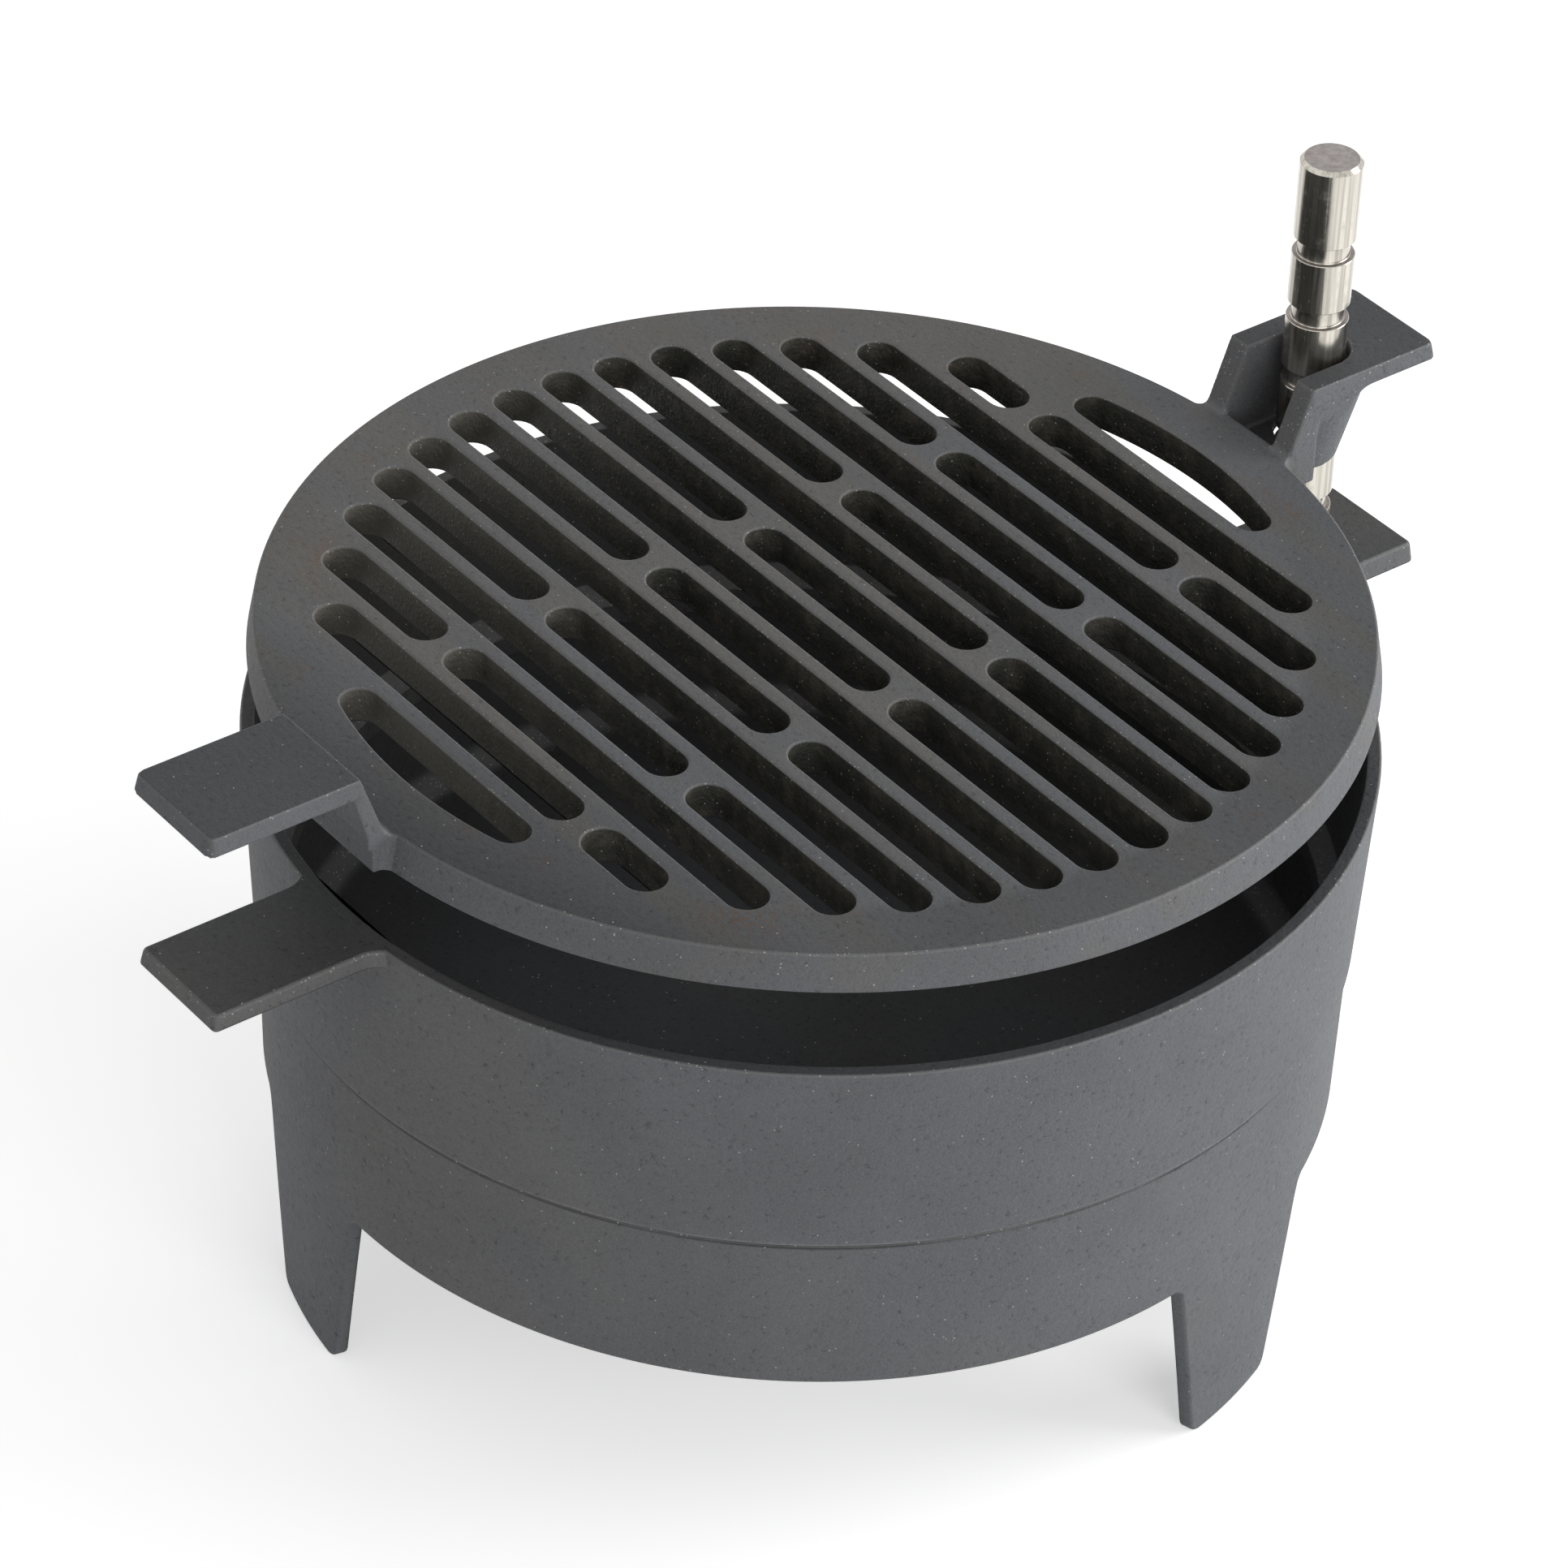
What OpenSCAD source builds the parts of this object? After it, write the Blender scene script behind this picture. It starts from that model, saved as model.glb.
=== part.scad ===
// Round cast iron table grill: a stand on three legs, a fire ring on top of it,
// a grooved steel post at the back and a slotted grate that hangs on the post.
// The floor is z = 0, the grill's own axis is Z and the post stands at +Y.

/* [Grate] */
// Radius of the grate at its upper edge
grate_r = 170; // [150:0.5:190]
// Thickness of the grate
grate_t = 12.5; // [8:0.5:16]
// How much wider the grate is at its lower edge
grate_flare = 2.2; // [0:0.1:4]
// Rounding of the grate's upper edge
grate_round = 1.5; // [0.5:0.1:3]
// Width of the plain border outside the slots
border_w = 18.6; // [14:0.1:24]

/* [Slots] */
// Width of a slot
slot_w = 13.6; // [10:0.1:15]
// Width of the bar between two rows of slots
bar_w = 5.1; // [3:0.1:8]
// Width of the web that parts the two slots of a row
web_w = 7.8; // [5:0.1:14]
// Distance of a web from the middle of its row
web_offset = 48; // [35:1:55]
// Width of the bar beside the curved opening at each end
end_bar_w = 5.8; // [4:0.1:8]
// Corner radius of the curved openings
crescent_round = 6; // [3:0.1:6]
// Least depth that is left for a curved opening
crescent_room = 16; // [15:0.5:18]

/* [Handles] */
// Width of the flat handles
tab_w = 41; // [34:0.5:50]
// How far the handles reach out beyond the post's axis
tab_past_post = 34.2; // [24:0.2:50]
// Corner radius of the handles
tab_round = 2; // [1:0.5:5]
// Thickness of the grate's two handle plates
plate_t = 6; // [4:0.5:8]
// Height of the plates' lower face above the grate
plate_rise = 16.6; // [10:0.2:20]
// Width of the sloped web under a handle plate
neck_w = 40; // [32:0.5:41]
// How far the web's foot lies outside the grate's upper edge
neck_out = 1; // [0.5:0.1:2]
// How far the web leans outwards up to the plate
neck_lean = 8.3; // [5:0.1:10]
// Thickness of the sloped web, measured level
neck_t = 6; // [4:0.1:8]
// How much thinner the web is under the plate
neck_taper = 1; // [0:0.1:2]
// How much the web's outer face draws in down to the grate's lower face
neck_root = 2.6; // [0:0.1:4]

/* [Post] */
// Distance of the post's axis from the fire ring's rim
post_out = 22.3; // [20:0.1:25]
// Radius of the post
post_r = 10; // [8:0.1:11]
// Height of the post above its seat
post_h = 145.5; // [135:0.5:170]
// Chamfer of the post's top
post_chamfer = 1.3; // [0.5:0.1:2.5]
// Number of grooves
groove_count = 5; // [3:1:5]
// Distance of the first groove below the top
groove_first = 28; // [20:0.5:34]
// Distance from groove to groove
groove_pitch = 23.5; // [18:0.5:26]
// Height of a groove
groove_h = 5.8; // [3:0.1:7]
// Depth of a groove
groove_depth = 1.7; // [0.8:0.1:2.5]
// Groove at which the grate hangs, counted from the top
groove_used = 3; // [1:1:4]
// Radius of the stud at the post's foot
stud_r = 6; // [4:0.5:7]
// Clearance round the stud in its hole
stud_gap = 0.05; // [0.02:0.01:0.1]
// Thickness of the washer under the rear tab
washer_t = 2.5; // [1.5:0.1:4]
// Outer radius of the washer
washer_r = 12; // [10:0.5:15]
// Clearance round the stud in the washer
washer_gap = 0.25; // [0.1:0.05:0.5]
// Width of the nut across its flats
nut_w = 19; // [17:0.5:22]
// Height of the nut
nut_h = 10; // [6:0.5:12]
// Length of stud that stands out of the nut
stud_end = 2; // [1:0.5:5]

/* [Bracket] */
// Half the width of the channel that takes the post
channel_r = 11.6; // [11.2:0.1:12.4]
// Clearance between the post and the saddle behind it
saddle_gap = 0.3; // [0.1:0.05:0.5]
// Height at which the saddle starts above the grate's lower face
saddle_z = 16; // [14:0.5:20]
// Width of the bar between the web's foot and the channel
bridge_w = 1.7; // [1.5:0.1:4]
// Thickness of the channel's floor, which the post passes through
channel_floor_t = 3.5; // [2:0.5:6]
// Distance from the ears' outer edge to the post's axis
ear_back = 13.8; // [12:0.1:17]
// Radius of the round boss at its lower end
boss_r = 15; // [14:0.5:17]
// How much the boss widens up to the plate
boss_flare = 7.3; // [4:0.1:8]
// Distance of the boss's centre in front of the post
boss_offset = 6.8; // [5:0.1:8]

/* [Fire ring] */
// Height of the fire ring
ring_h = 67; // [50:0.5:80]
// Thickness of the ring's wall
ring_wall = 4.5; // [4:0.1:7]
// How much the ring stands out over the stand's wall
ring_overhang = 1.2; // [0.5:0.1:2.5]
// How much the ring widens up to its rim
ring_flare = 3; // [1:0.1:5]
// How far the ring's skirt reaches down inside the stand
skirt_h = 6; // [3:0.5:12]
// Thickness of the skirt
skirt_t = 3.5; // [3:0.1:6]
// Height above the seam at which the skirt has run into the wall
skirt_rise = 8; // [5:0.5:14]
// Clearance round the skirt
skirt_gap = 0.4; // [0.3:0.05:1]
// Rounding of the rim's outer edge
rim_round = 2; // [1:0.1:2.5]
// Thickness of the front tab
front_tab_t = 6; // [4:0.5:9]
// Thickness of the rear tab
rear_tab_t = 8; // [6:0.5:12]
// Height from the rear tab's upper face to the rim
rear_tab_drop = 13.5; // [10:0.5:20]
// Radius of the hollow curve between a tab and the rim
tab_fillet = 10; // [4:0.5:14]

/* [Stand] */
// Height of the stand up to the seam
stand_h = 122; // [105:0.5:140]
// How far the stand's wall stands out beyond the grate's upper edge
stand_out = 0.3; // [-1:0.1:2]
// How much the wall narrows down to the floor
stand_draft = 2.3; // [0:0.1:5]
// Thickness of the stand's wall and legs
stand_wall = 5; // [4:0.1:8]
// Height of the openings between the legs
leg_h = 67.4; // [50:0.2:80]
// Width of a leg at its top
leg_top_w = 67; // [50:0.2:80]
// Width of a leg at the floor
leg_foot_w = 41; // [30:0.2:60]
// Radius of the hollow corner beside a leg
leg_fillet = 5; // [2:0.5:10]
// Corner radius of the foot
leg_round = 4.5; // [2:0.5:10]
// Direction of the front leg, counted from +X
leg_turn = 257.5; // [250:0.5:265]
// Thickness of the bottom plate
bottom_t = 6; // [4:0.5:10]
// Height of the bottom plate over the wall's lower edge
bottom_lift = 2; // [1:0.5:8]
// Radius of the hollow curve round the bottom plate
bottom_fillet = 10; // [4:0.5:16]

/* [Hidden] */
$fn = 96;
leg_count = 3;
corner_lap = 0.3;
root_lap = 5;
floor_lap = 2;

// Heights
seam_z = stand_h;
rim_z = seam_z + ring_h;
seat_z = rim_z - rear_tab_drop;
post_top_z = seat_z + post_h;
plate_z = post_top_z - groove_first - (groove_used - 1) * groove_pitch;
grate_top_z = plate_z - plate_rise;
grate_z = grate_top_z - grate_t;
plate_top_z = plate_z + plate_t;
bottom_z = leg_h + bottom_lift;

// Radii
slot_field_r = grate_r - border_w;
slot_end_r = slot_field_r - slot_w / 2;
stand_r = grate_r + stand_out;
inner_r = stand_r - stand_wall;
skirt_r = inner_r - skirt_gap;
foot_r = stand_r - stand_draft;
ring_r = stand_r + ring_overhang;
rim_r = ring_r + ring_flare;

// Distances from the grill's axis towards the post
neck_foot_y = grate_r + neck_out;
neck_top_y = neck_foot_y + neck_lean;
channel_y = neck_foot_y + bridge_w;
post_y = rim_r + post_out;
ear_y = post_y - ear_back;
tab_reach = post_y + tab_past_post;

// Slot pattern
slot_pitch = slot_w + bar_w;
half_rows = floor((slot_field_r - crescent_room) / slot_pitch);
crescent_y = half_rows * slot_pitch - bar_w / 2 + end_bar_w;

function arc(x, y, r, a0, a1, n = 8) =
    [for (i = [0:n]) let (a = a0 + (a1 - a0) * i / n) [x + r * cos(a), y + r * sin(a)]];

// Outer radius of the stand's wall at a height
function stand_outer(z) = foot_r + stand_draft * z / stand_h;

// Outer radius of the ring's wall at a height above the seam
function ring_outer(h) = ring_r + ring_flare * h / ring_h;

// A slab of a plan shape from a lower to an upper height
module slab(z0, z1) {
    translate([0, 0, z0])
        linear_extrude(height = z1 - z0)
            children();
}

// A side outline in the (y, z) plane, run along X from x0 to x1
module along_x(x0, x1, points) {
    translate([x0, 0, 0])
        rotate([90, 0, 90])
            linear_extrude(height = x1 - x0)
                polygon(points);
}

// Plan of a slot with round ends between two end centres
module slot_plan(x0, x1, y) {
    translate([x0, y - slot_w / 2])
        square([x1 - x0, slot_w]);
    for (x = [x0, x1])
        translate([x, y])
            circle(r = slot_w / 2);
}

// One row of slots, parted by a web on the side that side gives
module slot_row(y, side) {
    end_x = sqrt(pow(slot_end_r, 2) - pow(y, 2));
    web_x = side * web_offset;
    half = (web_w + slot_w) / 2;
    slot_plan(-end_x, web_x - half, y);
    slot_plan(web_x + half, end_x, y);
}

// Curved opening between the last row and the border
module crescent() {
    cy = crescent_y + crescent_round;
    cx = sqrt(pow(slot_field_r - crescent_round, 2) - pow(cy, 2));
    a = atan2(cy, cx);
    polygon(concat(
        arc(cx, cy, crescent_round, -90, a, 10),
        arc(0, 0, slot_field_r, a, 180 - a, 24),
        arc(-cx, cy, crescent_round, 180 - a, 270, 10)
    ));
}

// Plan of a handle plate on the +Y side from y0 outwards
module plate_plan(y0) {
    x = tab_w / 2 - tab_round;
    y = tab_reach - tab_round;
    polygon(concat(
        [[-tab_w / 2, y0], [tab_w / 2, y0]],
        arc(x, y, tab_round, 0, 90, 6),
        arc(-x, y, tab_round, 90, 180, 6)
    ));
}

// Plan of a tab on the +Y side with hollow curves where it leaves a wall of radius r
module tab_plan(r, root_r) {
    fx = tab_w / 2 + tab_fillet;
    fy = sqrt(pow(r + tab_fillet, 2) - pow(fx, 2));
    a = atan2(fy, fx);
    x = tab_w / 2 - tab_round;
    y = tab_reach - tab_round;
    polygon(concat(
        arc(0, 0, root_r, 180 - a, a, 8),
        arc(fx, fy, tab_fillet, 180 + a, 180, 8),
        arc(x, y, tab_round, 0, 90, 6),
        arc(-x, y, tab_round, 90, 180, 6),
        arc(-fx, fy, tab_fillet, 0, -a, 8)
    ));
}

// Round plate of the grate with its rounded upper edge
module grate_disc() {
    translate([0, 0, grate_z])
        rotate_extrude()
            polygon(concat(
                [[0, 0], [grate_r + grate_flare, 0]],
                arc(grate_r - grate_round, grate_t - grate_round, grate_round, 0, 90, 5),
                [[0, grate_t]]
            ));
}

// Sloped web and plate of the grate's front handle, on the +Y side
module handle() {
    slope = (neck_top_y - neck_foot_y) / (plate_top_z - grate_top_z);
    root_y = neck_foot_y - root_lap;
    under_y = neck_foot_y + slope * (plate_z - grate_top_z) + neck_t - neck_taper;
    along_x(-neck_w / 2, neck_w / 2, [
        [root_y, grate_z],
        [neck_foot_y + neck_t - neck_root, grate_z],
        [neck_foot_y + neck_t, grate_top_z],
        [under_y + 1, plate_z + 0.1],
        [neck_top_y + 1, plate_top_z - 0.1],
        [neck_top_y, plate_top_z - 0.1],
        [neck_foot_y, grate_top_z],
        [root_y, grate_top_z]
    ]);
    slab(plate_z, plate_top_z)
        plate_plan(neck_top_y);
}

// Bar between the grate and the channel's inner end, and the channel's floor
module channel_bridge() {
    slab(grate_z, grate_top_z)
        translate([-neck_w / 2, neck_foot_y - root_lap])
            square([neck_w, bridge_w + root_lap]);
    slab(grate_z, grate_z + channel_floor_t)
        translate([-channel_r, neck_foot_y])
            square([2 * channel_r, ear_y - neck_foot_y]);
}

// Two ears with sloped inner faces, one on each side of the channel
module ears() {
    root_y = neck_foot_y - root_lap;
    for (x = [-neck_w / 2, channel_r - 1])
        along_x(x, x + neck_w / 2 - channel_r + 1, [
            [root_y, grate_z],
            [ear_y, grate_z],
            [ear_y, plate_z + 0.1],
            [neck_top_y + 1, plate_top_z - 0.1],
            [neck_top_y, plate_top_z - 0.1],
            [neck_foot_y, grate_top_z],
            [root_y, grate_top_z]
        ]);
}

// Round boss round the channel's closed end, cut to the ears' width
module boss() {
    boss_h = plate_z + 0.1 - grate_z;
    intersection() {
        translate([0, post_y - boss_offset, grate_z])
            cylinder(r1 = boss_r, r2 = boss_r + boss_flare, h = boss_h);
        translate([-neck_w / 2, ear_y - 1, grate_z - 1])
            cube([neck_w, 2 * (boss_r + boss_flare), boss_h + 2]);
    }
}

// Room for the post: a channel with a round closed end, a hole through its floor and a
// closer saddle behind the post
module channel() {
    z0 = grate_z - 1;
    z1 = plate_top_z + 1;
    slab(grate_z + channel_floor_t, z1)
        translate([-channel_r, channel_y])
            square([2 * channel_r, post_y - channel_y]);
    slab(z0, z1)
        translate([0, post_y])
            circle(r = post_r + saddle_gap);
    translate([0, post_y, z0])
        cylinder(r = channel_r, h = saddle_z + 1);
    translate([0, post_y, plate_z])
        cylinder(r = channel_r, h = plate_t + 1);
}

// Rear bracket with the channel, which hangs the grate on the post
module bracket() {
    difference() {
        union() {
            ears();
            boss();
            slab(plate_z, plate_top_z)
                plate_plan(neck_top_y);
            channel_bridge();
        }
        channel();
    }
}

// Outline of a leg as (across, up) points; its hollow corners run a little way into the wall
function leg_outline() =
    let (
        foot = leg_foot_w / 2,
        lean = (leg_top_w - leg_foot_w) / 2,
        len = sqrt(pow(lean, 2) + pow(leg_h, 2)),
        a = atan2(lean, leg_h),
        cz = leg_h + corner_lap - leg_fillet,
        c = foot + lean * (cz + leg_fillet * lean / len) / leg_h + leg_fillet * leg_h / len,
        r = foot + (lean - len) * leg_round / leg_h
    )
    concat(
        arc(r, leg_round, leg_round, -90, -a),
        arc(c, cz, leg_fillet, 180 - a, 90),
        [[c, leg_h + 2], [-c, leg_h + 2]],
        arc(-c, cz, leg_fillet, 90, a),
        arc(-r, leg_round, leg_round, 180 + a, 270)
    );

// Lower casting: round wall with a bottom plate and three legs that go on from the wall
module stand() {
    top_of_bottom = bottom_z + bottom_t;
    low_r = stand_outer(top_of_bottom) - stand_wall;
    color([0.30, 0.31, 0.32])
        intersection() {
            rotate_extrude()
                polygon(concat(
                    [
                        [0, bottom_z],
                        [stand_outer(bottom_z) - stand_wall, bottom_z],
                        [stand_outer(-floor_lap) - stand_wall, -floor_lap],
                        [stand_outer(-floor_lap), -floor_lap],
                        [stand_r, stand_h],
                        [inner_r, stand_h]
                    ],
                    arc(low_r - bottom_fillet, top_of_bottom + bottom_fillet, bottom_fillet, 0, -90, 6),
                    [[0, top_of_bottom]]
                ));
            union() {
                translate([0, 0, leg_h])
                    cylinder(r = stand_r + 5, h = stand_h);
                for (i = [0:leg_count - 1])
                    rotate([0, 0, leg_turn + i * 360 / leg_count])
                        along_x(stand_r / 2, stand_r + 2, leg_outline());
            }
        }
}

// Upper casting: round wall with a skirt that goes down inside the stand, a front tab
// flush with its rim and a lower rear tab for the post
module fire_ring() {
    seat_h = seat_z - seam_z;
    front_root = rim_r - rim_round;
    rear_root = ring_outer(seat_h - rear_tab_t);
    color([0.31, 0.32, 0.33])
        difference() {
            union() {
                translate([0, 0, seam_z])
                    rotate_extrude()
                        polygon(concat(
                            [
                                [skirt_r - skirt_t, skirt_t / 2],
                                [skirt_r - skirt_t, -skirt_h],
                                [skirt_r, -skirt_h],
                                [skirt_r, 0],
                                [ring_r, 0]
                            ],
                            arc(rim_r - rim_round, ring_h - rim_round, rim_round, 0, 90, 5),
                            [
                                [rim_r - ring_wall, ring_h],
                                [ring_outer(skirt_rise) - ring_wall, skirt_rise]
                            ]
                        ));
                rotate([0, 0, 180])
                    slab(rim_z - front_tab_t, rim_z)
                        tab_plan(front_root, rim_r - 0.75 * ring_wall);
                slab(seat_z - rear_tab_t, seat_z)
                    tab_plan(rear_root - 0.5, rear_root - ring_wall / 2);
            }
            translate([0, post_y, seat_z - rear_tab_t - 1])
                cylinder(r = stud_r + stud_gap, h = rear_tab_t + 2);
        }
}

// Slotted cooking grate with its front handle and its rear bracket, one casting
module grate() {
    color([0.33, 0.34, 0.35]) {
        difference() {
            grate_disc();
            slab(grate_z - 1, grate_top_z + 1) {
                for (i = [0:2 * half_rows - 1])
                    slot_row((i - half_rows + 0.5) * slot_pitch, i % 2 == 0 ? 1 : -1);
                crescent();
                mirror([0, 1])
                    crescent();
            }
        }
        rotate([0, 0, 180])
            handle();
        bracket();
    }
}

// Steel post with its grooves and the stud that goes through the rear tab
module post() {
    stud_l = rear_tab_t + washer_t + nut_h + stud_end;
    neck_r = post_r - groove_depth;
    color([0.78, 0.77, 0.74])
        translate([0, post_y, seat_z])
            rotate_extrude()
                polygon(concat(
                    [[0, -stud_l], [stud_r, -stud_l], [stud_r, 0], [post_r, 0]],
                    [
                        for (i = [groove_count - 1:-1:0])
                            let (top = post_h - groove_first - i * groove_pitch)
                            each [
                                [post_r, top - groove_h],
                                [neck_r, top - groove_h],
                                [neck_r, top],
                                [post_r, top]
                            ]
                    ],
                    [
                        [post_r, post_h - post_chamfer],
                        [post_r - post_chamfer, post_h],
                        [0, post_h]
                    ]
                ));
}

// Washer under the rear tab
module post_washer() {
    color([0.72, 0.72, 0.70])
        translate([0, post_y, seat_z - rear_tab_t - washer_t])
            difference() {
                cylinder(r = washer_r, h = washer_t);
                translate([0, 0, -1])
                    cylinder(r = stud_r + washer_gap, h = washer_t + 2);
            }
}

// Nut that holds the post in the rear tab
module post_nut() {
    color([0.70, 0.70, 0.68])
        translate([0, post_y, seat_z - rear_tab_t - washer_t - nut_h])
            difference() {
                cylinder(r = nut_w / sqrt(3), h = nut_h, $fn = 6);
                translate([0, 0, -1])
                    cylinder(r = stud_r + stud_gap, h = nut_h + 2);
            }
}

stand();
fire_ring();
grate();
post();
post_washer();
post_nut();
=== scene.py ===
"""Tabletop grill in cast iron with a steel post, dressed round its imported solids."""

from math import atan2, cos, degrees, hypot, pi, radians, sin, sqrt

import bmesh
import bpy
from mathutils import Matrix, Vector


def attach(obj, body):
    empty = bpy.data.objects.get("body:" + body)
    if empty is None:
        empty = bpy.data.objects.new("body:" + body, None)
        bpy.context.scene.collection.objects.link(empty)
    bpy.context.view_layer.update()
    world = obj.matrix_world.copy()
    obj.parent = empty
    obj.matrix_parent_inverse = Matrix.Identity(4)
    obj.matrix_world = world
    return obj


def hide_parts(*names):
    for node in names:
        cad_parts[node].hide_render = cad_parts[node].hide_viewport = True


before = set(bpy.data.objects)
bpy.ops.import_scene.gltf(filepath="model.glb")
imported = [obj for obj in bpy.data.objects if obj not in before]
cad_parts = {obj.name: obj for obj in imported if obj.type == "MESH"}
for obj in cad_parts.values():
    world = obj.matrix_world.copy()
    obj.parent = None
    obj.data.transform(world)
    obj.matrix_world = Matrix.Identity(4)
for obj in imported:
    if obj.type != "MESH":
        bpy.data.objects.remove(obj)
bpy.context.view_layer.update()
scene = bpy.context.scene

# ---------------------------------------------------------------- camera
# A long lens from the front right, 36.5 degrees up, turned a little about its
# own axis as the photograph is.
right = Vector((0.60388406, 0.79639945, 0.03274082))
down = Vector((0.49057183, -0.33898234, -0.80276413))
ahead = Vector((-0.62822235, 0.50083818, -0.59539717))
lens_place = Vector((1.24742970, -1.00420550, 1.34923401))
lens = bpy.data.cameras.new("camera")
lens.sensor_fit = "HORIZONTAL"
lens.sensor_width = 36.0
lens.lens = 148.3617
lens.clip_end = 50.0
camera = bpy.data.objects.new("camera", lens)
camera.matrix_world = Matrix((
    (right.x, -down.x, -ahead.x, lens_place.x),
    (right.y, -down.y, -ahead.y, lens_place.y),
    (right.z, -down.z, -ahead.z, lens_place.z),
    (0.0, 0.0, 0.0, 1.0),
))
scene.collection.objects.link(camera)
scene.camera = camera
scene.view_settings.view_transform = "Standard"

# ---------------------------------------------------------------- floor
# A wide white sheet under the grill. The camera and the steel see it white,
# and it keeps the grill's soft shadow.


def node(tree, kind, **inputs):
    """A node of a material, with values or links given by the names of its inputs."""
    made = tree.nodes.new(kind)
    for key, value in inputs.items():
        socket = made.inputs[key.replace("_", " ")]
        if isinstance(value, bpy.types.NodeSocket):
            tree.links.new(value, socket)
        else:
            socket.default_value = value
    return made


def figure(tree, operation, *values):
    """A sum of a material: one operation on numbers or links."""
    made = tree.nodes.new("ShaderNodeMath")
    made.operation = operation
    for socket, value in zip(made.inputs, values):
        if isinstance(value, bpy.types.NodeSocket):
            tree.links.new(value, socket)
        else:
            socket.default_value = value
    return made.outputs[0]


def seen_share(tree, share):
    """A strength that only the camera and reflections get."""
    path = tree.nodes.new("ShaderNodeLightPath")
    seen = figure(tree, "MAXIMUM", path.outputs["Is Camera Ray"], path.outputs["Is Glossy Ray"])
    seen = figure(tree, "MAXIMUM", seen, path.outputs["Is Transmission Ray"])
    return figure(tree, "MULTIPLY", seen, share)


bm = bmesh.new()
bmesh.ops.create_grid(bm, x_segments=1, y_segments=1, size=6.0)
floor_mesh = bpy.data.meshes.new("floor")
bm.to_mesh(floor_mesh)
bm.free()
floor = bpy.data.objects.new("floor", floor_mesh)
scene.collection.objects.link(floor)
sheet = bpy.data.materials.new("white_sheet")
sheet.use_nodes = True
tree = sheet.node_tree
tree.nodes.remove(tree.nodes["Principled BSDF"])
paper_white = (0.90, 0.90, 0.90, 1.0)
paper_glow = 0.50
paper = node(tree, "ShaderNodeBsdfDiffuse", Color=paper_white)
glow = node(tree, "ShaderNodeEmission", Strength=seen_share(tree, paper_glow))
both = tree.nodes.new("ShaderNodeAddShader")
tree.links.new(paper.outputs[0], both.inputs[0])
tree.links.new(glow.outputs[0], both.inputs[1])
tree.links.new(both.outputs[0], tree.nodes["Material Output"].inputs["Surface"])
floor_mesh.materials.append(sheet)

# ---------------------------------------------------------------- light
# An even white room, a low broad soft box on the right, a smaller one in
# front and a weak one high behind.
room = bpy.data.worlds.new("studio")
scene.world = room
room.use_nodes = True
tree = room.node_tree
sky = tree.nodes["Background"]
sky.inputs["Color"].default_value = (1.0, 1.0, 1.0, 1.0)
room_level = 0.40
strength = figure(tree, "ADD", seen_share(tree, 1.0 - room_level), room_level)
tree.links.new(strength, sky.inputs["Strength"])
for name, spot, aim, size, watts in (
    ("box_right", (1.1, 1.6, 0.75), (0.0, 0.0, 0.15), 1.3, 27.0),
    ("box_front", (1.95, -0.35, 0.8), (0.0, 0.0, 0.1), 1.2, 15.0),
    ("box_top", (-1.1, 0.8, 1.7), (0.0, 0.0, 0.2), 1.2, 5.0),
):
    lamp = bpy.data.lights.new(name, "AREA")
    lamp.shape = "SQUARE"
    lamp.size = size
    lamp.energy = watts
    box = bpy.data.objects.new(name, lamp)
    box.location = spot
    box.rotation_euler = (Vector(aim) - Vector(spot)).to_track_quat("-Z", "Y").to_euler()
    scene.collection.objects.link(box)

# ---------------------------------------------------------------- stand
# Lower casting: a round wall with three legs that go on from it and a bottom
# plate with a hollow curve round it. Sand-cast iron, left as it came, with
# its edges rubbed round.
seam_h = 0.122
seam_gap = 0.0003
seam_r = 0.1703
foot_r = 0.168
below_floor = -0.002
stand_wall = 0.005
casting_steps = 288
casting_edge = 0.0011
clear_r = 0.18
clear_z = 0.14
leg_h = 0.0674
leg_top = 0.067
leg_foot = 0.041
leg_corner = 0.0045
leg_hollow = 0.005
leg_turn = 257.5
leg_count = 3
leg_from = 0.10
leg_run = 0.08
leg_lap = 0.0003
leg_rise = 0.004
plate_low = 0.0694
plate_high = 0.0754
plate_hollow = 0.010


def arc(cx, cy, r, a0, a1, n):
    """Points on an arc from one angle to another, in degrees."""
    return [
        (cx + r * cos(radians(a0 + (a1 - a0) * i / n)), cy + r * sin(radians(a0 + (a1 - a0) * i / n)))
        for i in range(n + 1)
    ]


def shown(bm, name):
    """A bmesh as an object of the scene, welded and with its faces outwards."""
    bmesh.ops.remove_doubles(bm, verts=bm.verts, dist=2e-6)
    bmesh.ops.recalc_face_normals(bm, faces=bm.faces)
    mesh = bpy.data.meshes.new(name)
    bm.to_mesh(mesh)
    bm.free()
    piece = bpy.data.objects.new(name, mesh)
    scene.collection.objects.link(piece)
    return piece


def turned(profile, steps, name):
    """A profile of (radius, height) points turned once round the Z axis."""
    bm = bmesh.new()
    verts = [bm.verts.new((r, 0.0, z)) for r, z in profile]
    edges = [bm.edges.new((verts[i], verts[(i + 1) % len(verts)])) for i in range(len(verts))]
    bmesh.ops.spin(bm, geom=verts + edges, cent=(0, 0, 0), axis=(0, 0, 1), angle=2 * pi,
                   steps=steps, use_merge=True, use_duplicate=False)
    return shown(bm, name)


def prism(outline, start, run, name):
    """A flat outline of 3-D points, from start, run along a vector into a solid."""
    bm = bmesh.new()
    face = bm.faces.new([bm.verts.new(Vector(p) + Vector(start)) for p in outline])
    grown = bmesh.ops.extrude_face_region(bm, geom=[face])
    bmesh.ops.translate(bm, vec=run, verts=[v for v in grown["geom"] if isinstance(v, bmesh.types.BMVert)])
    return shown(bm, name)


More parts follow.
